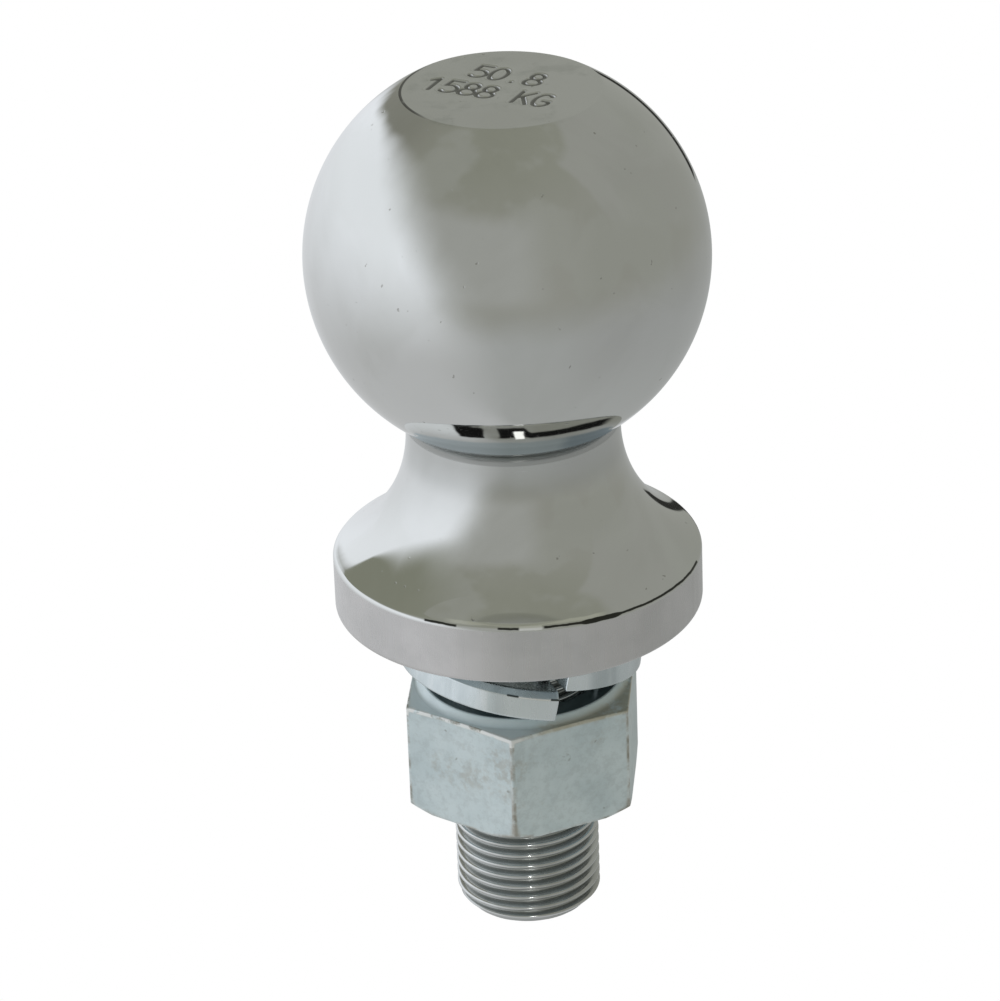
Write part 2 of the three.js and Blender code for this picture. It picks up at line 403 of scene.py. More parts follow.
def rim_distance(radius, z):
    """Distance along the outline from the top of the flange's side, up over the rim."""
    x, rim_z, rim_turn = rim_round()
    if z > FLARE_Z or z < SEAT_Z:
        return FAR_FROM_RIM
    if z < rim_z:
        return z - rim_z
    if radius > x:
        turn = math.atan2(z - rim_z, radius - x)
        if turn < math.radians(rim_turn):
            return RIM_ROUND * turn
    end = x + RIM_ROUND * math.cos(math.radians(rim_turn))
    return RIM_ROUND * math.radians(rim_turn) + (end - radius) * 1.15


def shank_radius(share, z):
    """The shank's radius: the thread, inside an end chamfer and a cone down to the relief."""
    thread = THREAD_RADIUS - THREAD_DEPTH * thread_share(share)
    tip = THREAD_RADIUS - TIP_CHAMFER + np.maximum(z, 0) * 0.95
    top = np.maximum(UNDERCUT_RADIUS, THREAD_RADIUS - (z - UNDERCUT_FOOT + 0.8))
    return np.minimum(thread, np.minimum(tip, top))


END_STEPS = ((0.08, 0.0), (0.3, 0.0), (3.0, 0.02), (5.6, 0.05), (6.2, 0.25), (6.7, 0.8))
DIMPLE_DEPTH = 1.3


def close_end(bm, loop, z):
    """The end face inside an open loop, with a centre dimple: loops at (inset, lift) and a tip."""
    outer = by_angle(loop)
    edge = math.hypot(outer[0].co.x, outer[0].co.y)
    for inset, lift in END_STEPS:
        inner = []
        for v in outer:
            turn = math.atan2(v.co.y, v.co.x)
            spot = ((edge - inset) * math.cos(turn), (edge - inset) * math.sin(turn), z + lift)
            inner.append(bm.verts.new(spot))
        for i in range(len(outer)):
            j = (i + 1) % len(outer)
            bm.faces.new((outer[j], outer[i], inner[i], inner[j]))
        outer = inner
    tip = bm.verts.new((0, 0, z + DIMPLE_DEPTH))
    for i in range(len(outer)):
        bm.faces.new((outer[(i + 1) % len(outer)], outer[i], tip))


def hitch_ball():
    """The forging, with its stamped flat, its flange and its threaded shank."""
    bm = bmesh.new()
    bm.verts.layers.float.new("groove")
    rim = bm.verts.layers.float.new("rim")
    outline = head_outline()
    loops = [ring(bm, r, z, BALL_COLUMNS) for r, z, _ in outline]
    for loop, (r, z, _) in zip(loops, outline):
        for vert in loop:
            vert[rim] = rim_distance(r, z)
            vert.co.z += rim_lip(*vert.co)
    for (upper, lower), (_, _, kind) in zip(zip(loops[:-1], loops[1:]), outline[1:]):
        before = len(bm.faces)
        skin(bm, lower, upper)
        bm.faces.ensure_lookup_table()
        for face in bm.faces[before:]:
            face.material_index = kind
    stamped_flat(bm, loops[0])
    before = len(bm.faces)
    low, high = helical_skin(bm, shank_radius, 0.0, SEAT_Z - 2.0, THREAD_COLUMNS)
    zip_loops(bm, high, loops[-1])
    close_end(bm, low, 0.0)
    bm.faces.ensure_lookup_table()
    for face in bm.faces:
        if max(v.co.z for v in face.verts) < SEAT_Z - SHANK_STEP:
            face.material_index = STEEL
    materials = [chrome_material(), satin_material(), steel_material()]
    return make_piece("chrome_ball", bm, materials, "ball", "hitch_ball")


# ---------------------------------------------------------------- the hex nut

def hexagon():
    """The nut's plan with rounded corners: (x, y, distance to the nearest corner) in order."""
    apothem = NUT_ACROSS_FLATS / 2
    half_side = apothem * math.tan(math.pi / 6)
    flat_half = half_side - NUT_CORNER_ROUND * math.tan(math.pi / 6)
    corner = (apothem - NUT_CORNER_ROUND) / math.cos(math.pi / 6)
    points = []
    for side in range(6):
        middle = NUT_TURN - math.pi / 2 + math.pi / 6 + side * math.pi / 3
        ends = flat_half - np.array([0, 0.15, 0.4, 0.9])
        for y in [*-ends, *np.linspace(-1, 1, 13)[1:-1] * ends[-1], *ends[::-1]]:
            cos, sin = math.cos(middle), math.sin(middle)
            spot = (apothem * cos - y * sin, apothem * sin + y * cos)
            points.append((*spot, flat_half - abs(y)))
        heading = middle + math.pi / 6
        for turn in np.linspace(-math.pi / 6, math.pi / 6, 7)[1:-1]:
            x = corner * math.cos(heading) + NUT_CORNER_ROUND * math.cos(heading + turn)
            y = corner * math.sin(heading) + NUT_CORNER_ROUND * math.sin(heading + turn)
            points.append((x, y, 0.0))
    return points


CORNER_WEAR = 0.2  # how far wear spreads from a corner
CORNER_WEAR_LOW = 0.55  # and how much further near the foot
CORNER_WEAR_FOOT = 0.9


def shoulder_height(radius):
    """How high the nut's gently sloping shoulder is at a radius."""
    return NUT_HEIGHT - NUT_FACE_HEIGHT + NUT_SHOULDER_SLOPE * (1.2 * NUT_ACROSS_FLATS / 2 - radius)


def nut_column(reach):
    """(radius, height, wear) up one column of the nut, whose plan reaches out to reach."""
    face, top, foot, ledge = NUT_FACE_RADIUS, NUT_HEIGHT, NUT_FOOT_RADIUS, NUT_SHOULDER_RADIUS
    lower = max(0, (reach - foot) * math.tan(NUT_CHAMFER))
    rows = [(NUT_BORE_RADIUS, 0, 0.1), (NUT_BORE_RADIUS + 0.15, 0, 0.1), (NUT_BORE_RADIUS + 2, 0, 0)]
    rows += [(min(foot, reach - 0.35), 0, 0.3), (reach - 0.09, max(lower - 0.04, 0.02), 1)]
    rows += [(reach, lower + 0.1, 1), (reach, lower + 0.25, 0.5), (reach, lower + 0.6, 0.15)]
    edge = shoulder_height(reach - 0.1)
    rows += [(reach, z, 0) for z in np.linspace(lower + 1.2, edge - 1.2, 12)]
    rows += [(reach, edge - 0.8, 0.1), (reach, edge - 0.5, 0.4), (reach, edge - 0.25, 0.8)]
    rows += [(reach, edge - 0.12, 1)]
    rows += [(reach - 0.03, edge - 0.03, 1), (reach - 0.12, edge + 0.01, 0.9)]
    room = reach - 0.14 - ledge
    for share in (0.9, 0.6, 0.3, 0):
        out = ledge + room * share
        rows.append((out, shoulder_height(out), 0.6 * share**3))
    ledge_drop = top - shoulder_height(ledge)
    slope = ((0.8, 0.92), (0.58, 0.76), (0.36, 0.5), (0.18, 0.24), (0.06, 0.07), (0.0, 0.02))
    rows += [(face + (ledge - face) * out, top - ledge_drop * drop, 0) for out, drop in slope]
    rows += [(face - 0.12, top, 0), (face - 0.3, top, 0), (NUT_BORE_RADIUS + 0.15, top, 0)]
    return rows + [(NUT_BORE_RADIUS, top, 0)]


def nut_bore_radius(share, z):
    """The bore's radius: the internal thread, opened by a countersink at each face."""
    thread = THREAD_RADIUS + RUN_CLEARANCE - THREAD_DEPTH * thread_share(share)
    lower = NUT_BORE_RADIUS - np.maximum(z - NUT_LOW, 0)
    upper = NUT_BORE_RADIUS - np.maximum(NUT_LOW + NUT_HEIGHT - z, 0)
    return np.maximum(thread, np.maximum(lower, upper))


def hex_nut():
    """The nut: columns of vertices round its plan, closed inside by its threaded bore. The vertex
    layer "wear" says how worn a point is."""
    bm = bmesh.new()
    wear = bm.verts.layers.float.new("wear")
    columns = []
    for x, y, gap in hexagon():
        reach = math.hypot(x, y)
        column = []
        for radius, z, worn in nut_column(reach):
            vert = bm.verts.new((x * radius / reach, y * radius / reach, NUT_LOW + z))
            on_side = radius > reach - 0.1
            low_down = math.exp(-max(z - CORNER_WEAR_FOOT, 0) / CORNER_WEAR_FOOT)
            spread = CORNER_WEAR + CORNER_WEAR_LOW * low_down
            vert[wear] = min(1, max(worn, math.exp(-gap / spread) if on_side else 0))
            column.append(vert)
        columns.append(column)
    for i, here in enumerate(columns):
        there = columns[(i + 1) % len(columns)]
        for j in range(len(here) - 1):
            bm.faces.new((here[j], there[j], there[j + 1], here[j + 1]))
    inner_low, inner_high = [c[0] for c in columns], [c[-1] for c in columns]
    high_z = NUT_LOW + NUT_HEIGHT
    thread = bmesh.new()
    low, high = helical_skin(thread, nut_bore_radius, NUT_LOW, high_z, BORE_COLUMNS, inward=True)
    copies = {v: bm.verts.new(v.co) for v in thread.verts}
    for face in thread.faces:
        bm.faces.new([copies[v] for v in face.verts])
    low, high = [copies[v] for v in low], [copies[v] for v in high]
    thread.free()
    merge_loops(bm, inner_low, low)
    merge_loops(bm, inner_high, high)
    bmesh.ops.recalc_face_normals(bm, faces=bm.faces)
    return make_piece("zinc_nut", bm, [nut_material()], "nut", "hex_nut")


def merge_loops(bm, outer, inner):
    """Joins the face ring's loop to the bore's loop by a narrow band of triangles."""
    for v in outer:
        size = math.hypot(v.co.x, v.co.y)
        v.co.x *= (size + 0.1) / size
        v.co.y *= (size + 0.1) / size
    zip_loops(bm, outer, inner)


# ---------------------------------------------------------------- the split washer

WASHER_EDGE_ROUND = 0.22


def washer_section(inset):
    """The bar's section with rounded corners and a bevel on the upper outer edge: (across, up, mark)
    in order, where mark is 1 on the line between the bevel and the outer wall."""
    half_x = (WASHER_OUTER - WASHER_INNER) / 2 - inset
    half_z = WASHER_THICKNESS / 2 - inset
    off = WASHER_EDGE_ROUND
    bevel = WASHER_BEVEL
    points = [(half_x, half_z - bevel - 0.1, 0.6), (half_x - 0.04, half_z - bevel + 0.02, 1)]
    points += [(half_x - 0.14, half_z - bevel + 0.12, 0.5), (half_x - 0.3, half_z - bevel + 0.28, 0)]
    points += [(half_x - 0.7, half_z - bevel + 0.68, 0), (half_x - bevel - 0.05, half_z - 0.02, 0.3)]
    points += [(half_x - bevel - 0.25, half_z, 0)]
    for quarter, (sx, sz) in enumerate(((-1, 1), (-1, -1), (1, -1)), start=1):
        cx, cz = sx * (half_x - off), sz * (half_z - off)
        points += [(x, y, 0) for x, y in arc(cx, cz, off, quarter * 90, quarter * 90 + 90, 4)]
    spaced = []
    for i, a in enumerate(points):
        b = points[(i + 1) % len(points)]
        spaced.append(a)
        if math.dist(a[:2], b[:2]) > 1:
            spaced += [(x, y, 0) for x, y in straight(a[:2], b[:2], 3)]
    return spaced


def lock_washer():
    """The washer: its section swept along one turn of a left-hand helix, then tipped. The vertex
    layer "crease" marks the foot of its bevel."""
    bm = bmesh.new()
    crease = bm.verts.layers.float.new("crease")
    tilt = Matrix.Rotation(WASHER_TIP_X, 4, "X") @ Matrix.Rotation(WASHER_TIP_Y, 4, "Y")
    place = Matrix.Translation((0, 0, WASHER_LIFT)) @ tilt
    middle = (WASHER_INNER + WASHER_OUTER) / 2
    length = middle * WASHER_SPAN
    ends = [(0.0, 0.22), (0.03 / length, 0.08), (0.14 / length, 0.0)]
    body = [(s, 0.0) for s in np.linspace(0.5 / length, 1 - 0.5 / length, 240)]
    stations = ends + body + [(1 - s, inset) for s, inset in reversed(ends)]
    rings = []
    for share, inset in stations:
        loop = []
        for across, up, mark in washer_section(inset):
            slant = up / WASHER_THICKNESS * WASHER_SLANT
            turn = WASHER_START - share * WASHER_SPAN + slant
            radius = middle + across
            z = up + (share - 0.5) * WASHER_RISE
            spot = place @ Vector((radius * math.cos(turn), radius * math.sin(turn), z))
            loop.append(bm.verts.new(spot))
            loop[-1][crease] = mark
        rings.append(loop)
    for here, there in zip(rings[:-1], rings[1:]):
        skin(bm, here, there)
    for loop in (rings[0], rings[-1]):
        bm.faces.new(loop)
    bmesh.ops.recalc_face_normals(bm, faces=bm.faces)
    return make_piece("zinc_washer", bm, [washer_material()], "washer", "lock_washer")


# ---------------------------------------------------------------- materials

class Nodes:
    """A small helper that adds and links shader nodes in one call."""

    def __init__(self, holder, place="Object"):
        self.holder = holder
        holder.use_nodes = True
        self.tree = holder.node_tree
        self.place = self.add("ShaderNodeTexCoord").outputs[place]

    def add(self, kind, inputs=None, **settings):
        node = self.tree.nodes.new(kind)
        for key, value in settings.items():
            setattr(node, key, value)
        for key, value in (inputs or {}).items():
            self.set(node.inputs[key], value)
        return node

    def set(self, socket, value):
        if isinstance(value, bpy.types.NodeSocket):
            self.tree.links.new(value, socket)
        else:
            socket.default_value = value

    def noise(self, scale, detail=3.0, rough=0.5, place=None, distortion=0.0):
        inputs = {"Vector": place or self.place, "Scale": scale, "Detail": detail}
        inputs |= {"Roughness": rough, "Distortion": distortion}
        return self.add("ShaderNodeTexNoise", inputs).outputs["Fac"]

    def fit(self, value, low, high, to_low=0.0, to_high=1.0, smooth=True):
        inputs = {"Value": value, "From Min": low, "From Max": high}
        inputs |= {"To Min": to_low, "To Max": to_high}
        kind = "SMOOTHSTEP" if smooth else "LINEAR"
        return self.add("ShaderNodeMapRange", inputs, interpolation_type=kind).outputs["Result"]

    def math(self, operation, a, b=0.0, clamp=False):
        node = self.add("ShaderNodeMath", {0: a, 1: b}, operation=operation, use_clamp=clamp)
        return node.outputs["Value"]

    def mix(self, share, a, b, blend="MIX"):
        node = self.add("ShaderNodeMix", data_type="RGBA", blend_type=blend)
        self.set(node.inputs["Factor"], share)
        self.set(node.inputs["A"], a)
        self.set(node.inputs["B"], b)
        return node.outputs["Result"]

    def stretch(self, x, y, z):
        return self.add("ShaderNodeMapping", {"Vector": self.place, "Scale": (x, y, z)}).outputs["Vector"]

    def window(self, value, low, high, soft):
        """1 between low and high, fading out over soft on both sides."""
        rise = self.fit(value, low - soft, low)
        return self.math("MULTIPLY", rise, self.fit(value, high + soft, high))

    def any_of(self, parts):
        total = parts[0]
        for part in parts[1:]:
            total = self.math("ADD", total, part, clamp=True)
        return total

    def both(self, a, b):
        return self.math("MULTIPLY", a, b)

    def attribute(self, name):
        return self.add("ShaderNodeAttribute", attribute_name=name).outputs["Fac"]

    def axes(self):
        return self.add("ShaderNodeSeparateXYZ", {"Vector": self.place}).outputs

    def radius(self, axes):
        squares = [self.math("POWER", axes[name], 2.0) for name in "XY"]
        return self.math("SQRT", self.math("ADD", *squares))

    def bump(self, height, distance, strength=1.0, normal=None):
        inputs = {"Height": height, "Distance": distance, "Strength": strength}
        if normal is not None:
            inputs["Normal"] = normal
        return self.add("ShaderNodeBump", inputs).outputs["Normal"]

    def metal(self, color, roughness, normal, metallic=1.0):
        shader = self.tree.nodes["Principled BSDF"]
        self.set(shader.inputs["Base Color"], color)
        self.set(shader.inputs["Roughness"], roughness)
        self.set(shader.inputs["Normal"], normal)
        shader.inputs["Metallic"].default_value = metallic
        return self.holder


def grey(r, g=None, b=None):
    return (r, g if g is not None else r, b if b is not None else r, 1.0)


# Heights of the fillet's band below the ball, which is painted darker as shade.
CREASE_TOP = BALL_Z - 20.9
CREASE_FOOT = BALL_Z - 22.55
# The rim's dark dashes, white glint and pale strip are painted reflections.
RIM_MARKS = ((-30.0, -20.0), (-6.5, -0.8), (7.5, 75.0))  # degrees from the front, towards +X
RIM_GLINT = (0.0, 6.3)
RIM_BLOTCH = (21, 30)
MARK_LIFT = 0.46  # millimetres up the outline from the flange's side
MARK_HALF = 0.13
EDGE_LINE_WIDTH = 0.22
# The dark colour of the rim's painted reflections.
RIM_DARK_REFLECTION = grey(0.05, 0.05, 0.045)


def rim_painted_reflections(n, axes):
    """Thin painted reflections on the flange's rounded rim: how much dark, bright and pale covers a
    point.
    """
    turn = n.math("DEGREES", n.math("ARCTAN2", axes["X"], n.math("MULTIPLY", axes["Y"], -1.0)))
    ragged = n.both(n.math("SUBTRACT", n.noise(420, 3, 0.6), 0.5), 0.35)
    along = n.math("ADD", n.attribute("rim"), ragged)
    half = n.math("ADD", n.both(n.window(turn, *RIM_BLOTCH, 3), 0.16), MARK_HALF)
    away = n.math("ABSOLUTE", n.math("SUBTRACT", along, MARK_LIFT))
    line = n.fit(n.math("SUBTRACT", away, half), 0.07, -0.03)
    marks = n.any_of([n.window(turn, low, high, 0.7) for low, high in RIM_MARKS])
    glint = n.both(n.window(along, 0.25, 0.75, 0.08), n.window(turn, *RIM_GLINT, 0.6))
    pale = n.both(n.window(along, 0.9, 1.15, 0.2), n.window(turn, -20, 24, 5))
    return n.both(line, marks), glint, n.both(pale, 0.8)


def flat_edge_line(n, axes):
    """Painted shade: a dark line along the left of the flat's edge."""
    inner, outer = FLAT_RADIUS - EDGE_LINE_WIDTH, FLAT_RADIUS + 0.02
    ring_share = n.window(n.radius(axes), inner * MM, outer * MM, 0.1 * MM)
    high = n.fit(axes["Z"], (FLAT_Z - 0.5) * MM, (FLAT_Z - 0.3) * MM)
    return n.both(ring_share, n.both(high, n.fit(axes["X"], -8.5 * MM, -11 * MM)))


def chrome_material():
    """Polished chrome: faint clouds, pits, the fillet's dull band painted dark as shade, painted
    reflections on the rim, a painted shade line at the flat's left edge, painted shade in the stamp's
    grooves and a duller flat.
    """
    n = Nodes(bpy.data.materials.new("polished_chrome"))
    axes = n.axes()
    clouds = n.noise(55, 4, 0.55, distortion=0.6)
    specks = n.fit(n.noise(900, 2, 0.5), 0.735, 0.77)
    color = n.mix(n.fit(clouds, 0.42, 0.62), grey(0.70, 0.705, 0.69), grey(0.665, 0.67, 0.65))
    color = n.mix(n.both(specks, 0.5), color, grey(0.25, 0.24, 0.21))
    # Painted shade: the fillet's band below the ball is painted darker.
    crease = n.window(axes["Z"], CREASE_FOOT * MM, CREASE_TOP * MM, 0.12 * MM)
    color = n.mix(n.both(crease, 0.52), color, grey(0.14, 0.15, 0.145))
    neck = n.window(axes["Z"], (FLARE_Z - 2) * MM, CREASE_FOOT * MM, 3 * MM)
    color = n.mix(n.both(neck, 0.5), color, grey(0.52, 0.53, 0.515))
    # Painted reflections on the rim: dark dashes, a white glint and a pale strip.
    dark, glint, pale = rim_painted_reflections(n, axes)
    color = n.mix(pale, color, grey(0.97, 0.97, 0.93))
    color = n.mix(glint, color, grey(1.0))
    color = n.mix(dark, color, RIM_DARK_REFLECTION)
    # Painted shade along the left of the flat's edge.
    color = n.mix(n.both(flat_edge_line(n, axes), 0.85), color, grey(0.04, 0.04, 0.035))
    flat = n.fit(axes["Z"], (FLAT_Z - 0.3) * MM, (FLAT_Z - 0.12) * MM)
    film = n.both(flat, n.fit(n.noise(260, 4, 0.6), 0.52, 0.72))
    color = n.mix(film, color, grey(0.6, 0.61, 0.59))
    # Painted shade: the stamp's grooves are painted darker.
    groove = n.attribute("groove")
    color = n.mix(n.fit(groove, 0.1, 0.8, 0.0, 0.8), color, grey(0.16, 0.16, 0.15))
    roughness = n.fit(n.noise(120, 3), 0.3, 0.7, 0.035, 0.075)
    for zone, extra in ((flat, 0.1), (groove, 0.35), (crease, 0.25)):
        roughness = n.math("ADD", roughness, n.both(zone, extra))
    waves = n.bump(n.noise(45, 2, 0.4), 0.00004, 0.6)
    pits = n.bump(n.math("MULTIPLY", specks, -1.0), 0.00003, 0.7, waves)
    return n.metal(color, roughness, pits)


def satin_material():
    """The flange's side: satin chrome with fine upright streaks."""
    n = Nodes(bpy.data.materials.new("satin_chrome"))
    streaks = n.noise(60, 4, 0.6, n.stretch(12, 12, 0.6))
    clouds = n.noise(160, 4, 0.6)
    color = n.mix(n.fit(clouds, 0.35, 0.7), grey(0.68, 0.665, 0.655), grey(0.62, 0.61, 0.60))
    roughness = n.fit(streaks, 0.3, 0.7, 0.2, 0.32)
    return n.metal(color, roughness, n.bump(streaks, 0.00002, 0.5))


def steel_material():
    """The thread and the seat: bare steel, bright on the crests and dark in the grooves."""
    n = Nodes(bpy.data.materials.new("bare_thread_steel"))
    axes = n.axes()
    out = n.radius(axes)
    deep = n.fit(out, (THREAD_RADIUS - 0.12) * MM, (THREAD_RADIUS - 0.8) * MM)
    grain = n.noise(350, 4, 0.6, n.stretch(1, 1, 4))
    dirt = n.fit(n.noise(140, 4, 0.6), 0.4, 0.7)
    color = n.mix(dirt, grey(0.66, 0.67, 0.66), grey(0.54, 0.54, 0.52))
    color = n.mix(n.both(deep, 0.85), color, grey(0.33, 0.345, 0.33))
    roughness = n.math("ADD", n.fit(grain, 0.3, 0.7, 0.09, 0.17), n.both(deep, 0.18))
    return n.metal(color, roughness, n.bump(grain, 0.00002, 0.5))


def zinc_base(n, light, dark, speckle):
    """Blue-white zinc with soft clouds and small dark specks."""
    clouds = n.fit(n.noise(110, 5, 0.6), 0.35, 0.68)
    color = n.mix(clouds, light, dark)
    specks = n.fit(n.noise(650, 2, 0.5), 0.70, 0.76)
    return n.mix(n.both(specks, speckle), color, grey(0.2, 0.19, 0.16))


def nut_material():
    """Zinc with stains, grime and bright rubbed zinc along its edges, a painted highlight on its upper
    left edges and on its shoulder, painted shade on the step's wall, and a smooth bearing face painted
    dark as shade.
    """
    n = Nodes(bpy.data.materials.new("zinc_nut"))
    axes = n.axes()
    out = n.radius(axes)
    top_z = NUT_LOW + NUT_HEIGHT
    shoulder_z = top_z - NUT_FACE_HEIGHT
    color = zinc_base(n, grey(0.76, 0.855, 0.87), grey(0.64, 0.74, 0.76), 0.5)
    stains = n.both(n.fit(n.noise(75, 5, 0.75), 0.54, 0.68), n.fit(n.noise(600, 3, 0.7), 0.4, 0.6))
    color = n.mix(n.both(stains, 0.4), color, grey(0.42, 0.38, 0.3))
    mottle = n.noise(900, 4, 0.7)
    color = n.mix(n.fit(mottle, 0.42, 0.66, 0.0, 0.28), color, grey(0.45, 0.5, 0.5))
    high = n.fit(axes["Z"], (top_z - 0.16) * MM, (top_z - 0.04) * MM)
    disc = n.both(high, n.fit(out, NUT_FACE_RADIUS * MM, (NUT_FACE_RADIUS - 0.3) * MM))
    shoulder = n.fit(axes["Z"], (shoulder_z - 0.35) * MM, (shoulder_z + 0.02) * MM)
    # Painted light: the shoulder and the face above it are painted brighter.
    color = n.mix(n.both(shoulder, 0.8), color, grey(0.9, 0.99, 1.0))
    wear = n.attribute("wear")
    patchy = n.fit(n.noise(420, 4, 0.65), 0.38, 0.62)
    grime = n.math("MULTIPLY", n.fit(wear, 0.2, 0.8), patchy, clamp=True)
    color = n.mix(n.both(grime, 0.8), color, grey(0.27, 0.23, 0.16))
    # Rubbed zinc brightens the worn edges a little; along the upper edges on the left the bright is a
    # painted highlight.
    rubbed = n.both(n.fit(wear, 0.25, 0.6), n.fit(n.noise(600, 3), 0.38, 0.48))
    near_top = n.fit(axes["Z"], (shoulder_z - 1.1) * MM, (shoulder_z - 0.8) * MM)
    # Painted highlight on the upper edges at the left.
    left_edge_highlight = n.both(near_top, n.fit(axes["X"], 0.5 * MM, -1.0 * MM))
    bright = n.both(rubbed, n.math("ADD", left_edge_highlight, 0.2, clamp=True))
    color = n.mix(bright, color, grey(0.95, 0.96, 0.94))
    # Painted shade: the step's wall between the face and the shoulder is painted a little darker.
    wall = n.both(shoulder, n.window(out, NUT_FACE_RADIUS * MM, NUT_SHOULDER_RADIUS * MM, 0.1 * MM))
    color = n.mix(n.both(wall, 0.22), color, grey(0.35, 0.44, 0.46))
    color = n.mix(n.both(nut_dirt(n, axes, out, shoulder), 0.8), color, grey(0.55, 0.52, 0.4))
    # Painted shade: the bearing face under the washer is painted dark.
    color = n.mix(disc, color, grey(0.1, 0.14, 0.15))
    grain = n.noise(500, 5, 0.6)
    roughness = n.fit(grain, 0.3, 0.7, 0.36, 0.5)
    roughness = n.math("SUBTRACT", roughness, n.both(disc, 0.3))
    soft = n.bump(n.noise(130, 3), 0.00012, 0.35)
    return n.metal(color, roughness, n.bump(grain, 0.00005, 0.5, soft), metallic=0.35)


def nut_dirt(n, axes, out, shoulder):
    """The dirty band at the front right of the nut's shoulder."""
    front_right = n.both(n.fit(axes["X"], -0.5 * MM, 4 * MM), n.fit(axes["Y"], 0.0, -3 * MM))
    low, high = NUT_SHOULDER_RADIUS - 0.9, NUT_SHOULDER_RADIUS - 0.1
    band = n.both(n.both(shoulder, front_right), n.fit(out, low * MM, high * MM))
    return n.both(band, n.fit(n.noise(300, 4, 0.7), 0.32, 0.54))


# Spans along X, in millimetres, of painted reflections at the bevel's foot.
WASHER_MARKS = ((-1.7, -0.4), (-0.3, 3.6), (3.8, 6.6))  # dark, bright and dark along the bevel's foot


def washer_material():
    """Brighter zinc with upright light and dark bands of painted reflection, a painted highlight at its
    front, and broken dark and bright painted reflections along the bevel's foot.
    """
    n = Nodes(bpy.data.materials.new("zinc_washer"))
    color = zinc_base(n, grey(0.72, 0.78, 0.79), grey(0.62, 0.68, 0.69), 0.3)
    # Upright light and dark bands: painted reflections.
    bands = n.noise(260, 3, 0.55, n.stretch(1, 1, 0.06))
    color = n.mix(n.fit(bands, 0.42, 0.62, 0.0, 0.4), color, grey(0.42, 0.47, 0.48))
    color = n.mix(n.fit(bands, 0.44, 0.34, 0.0, 0.4), color, grey(0.95, 0.97, 0.97))
    crease = n.attribute("crease")
    axes = n.axes()
    # Painted highlight: the front of the washer is painted brighter.
    front_highlight = n.both(n.window(axes["X"], -1.5 * MM, 7 * MM, 3 * MM), n.fit(axes["Y"], 0.0, -5 * MM))
    color = n.mix(n.both(front_highlight, 0.6), color, grey(0.93, 0.98, 1.0))
    ragged = n.both(n.math("SUBTRACT", n.noise(500, 3, 0.6), 0.5), 0.002)
    across = n.math("ADD", axes["X"], ragged)
    # Painted reflections: broken dark and bright marks along the bevel's foot, on the front.
    spans = [n.window(across, low * MM, high * MM, 0.15 * MM) for low, high in WASHER_MARKS]
    line = n.both(n.fit(crease, 0.3, 0.8), n.fit(axes["Y"], 0.0, -5 * MM))
    color = n.mix(n.both(line, n.any_of([spans[0], spans[2]])), color, grey(0.08, 0.09, 0.09))
    color = n.mix(n.both(line, spans[1]), color, grey(1.0))
    streaks = n.noise(90, 4, 0.6, n.stretch(10, 10, 0.8))
    roughness = n.fit(streaks, 0.3, 0.7, 0.18, 0.32)
    return n.metal(color, roughness, n.bump(streaks, 0.00004, 0.5))


# ---------------------------------------------------------------- studio and camera

def room_angles(n):
    """The azimuth and elevation a ray heads to, in degrees, a little warped so that edges wander.
    Azimuth is 0 behind the object, along +Y, and grows towards +X."""
    drift = n.add("ShaderNodeTexNoise", {"Vector": n.place, "Scale": 2.3, "Detail": 3.0}).outputs["Color"]
    shift = n.add("ShaderNodeVectorMath", {0: drift, 1: (0.5, 0.5, 0.5)}, operation="SUBTRACT")
    scaled = n.add("ShaderNodeVectorMath", {0: shift.outputs["Vector"], "Scale": 0.16}, operation="SCALE")
    moved = n.add("ShaderNodeVectorMath", {0: n.place, 1: scaled.outputs["Vector"]}, operation="ADD")
    heading = n.add("ShaderNodeVectorMath", {0: moved.outputs["Vector"]}, operation="NORMALIZE")
    axes = n.add("ShaderNodeSeparateXYZ", {"Vector": heading.outputs["Vector"]}).outputs
    azimuth = n.math("DEGREES", n.math("ARCTAN2", axes["X"], axes["Y"]))
    return azimuth, n.math("DEGREES", n.math("ARCSINE", axes["Z"]))


BOX_MIDDLE = -82.0  # azimuth, in degrees
BOX_TOP = 40.0
BOX_ARCH = 0.0094


def softbox(n, azimuth, elevation):
    """How much of the large white diffuser on the left a ray sees. Its top edge is an arch, crisp
    where it is near the ball and soft on the far side."""
    away = n.math("SUBTRACT", azimuth, BOX_MIDDLE)
    arch = n.math("SUBTRACT", BOX_TOP, n.both(n.both(away, away), BOX_ARCH))
    blur = n.fit(azimuth, -165.0, -35.0, 62.0, 6.0, smooth=False)
    inside = n.math("DIVIDE", n.math("SUBTRACT", arch, elevation), blur)
    return n.fit(inside, -0.5, 0.5)


HORIZON_TOP, HORIZON_FOOT = 24.0, -12.0
HORIZON_DROP = 19.0  # how much lower its top is on the right
FOOT_DROP = 5.0


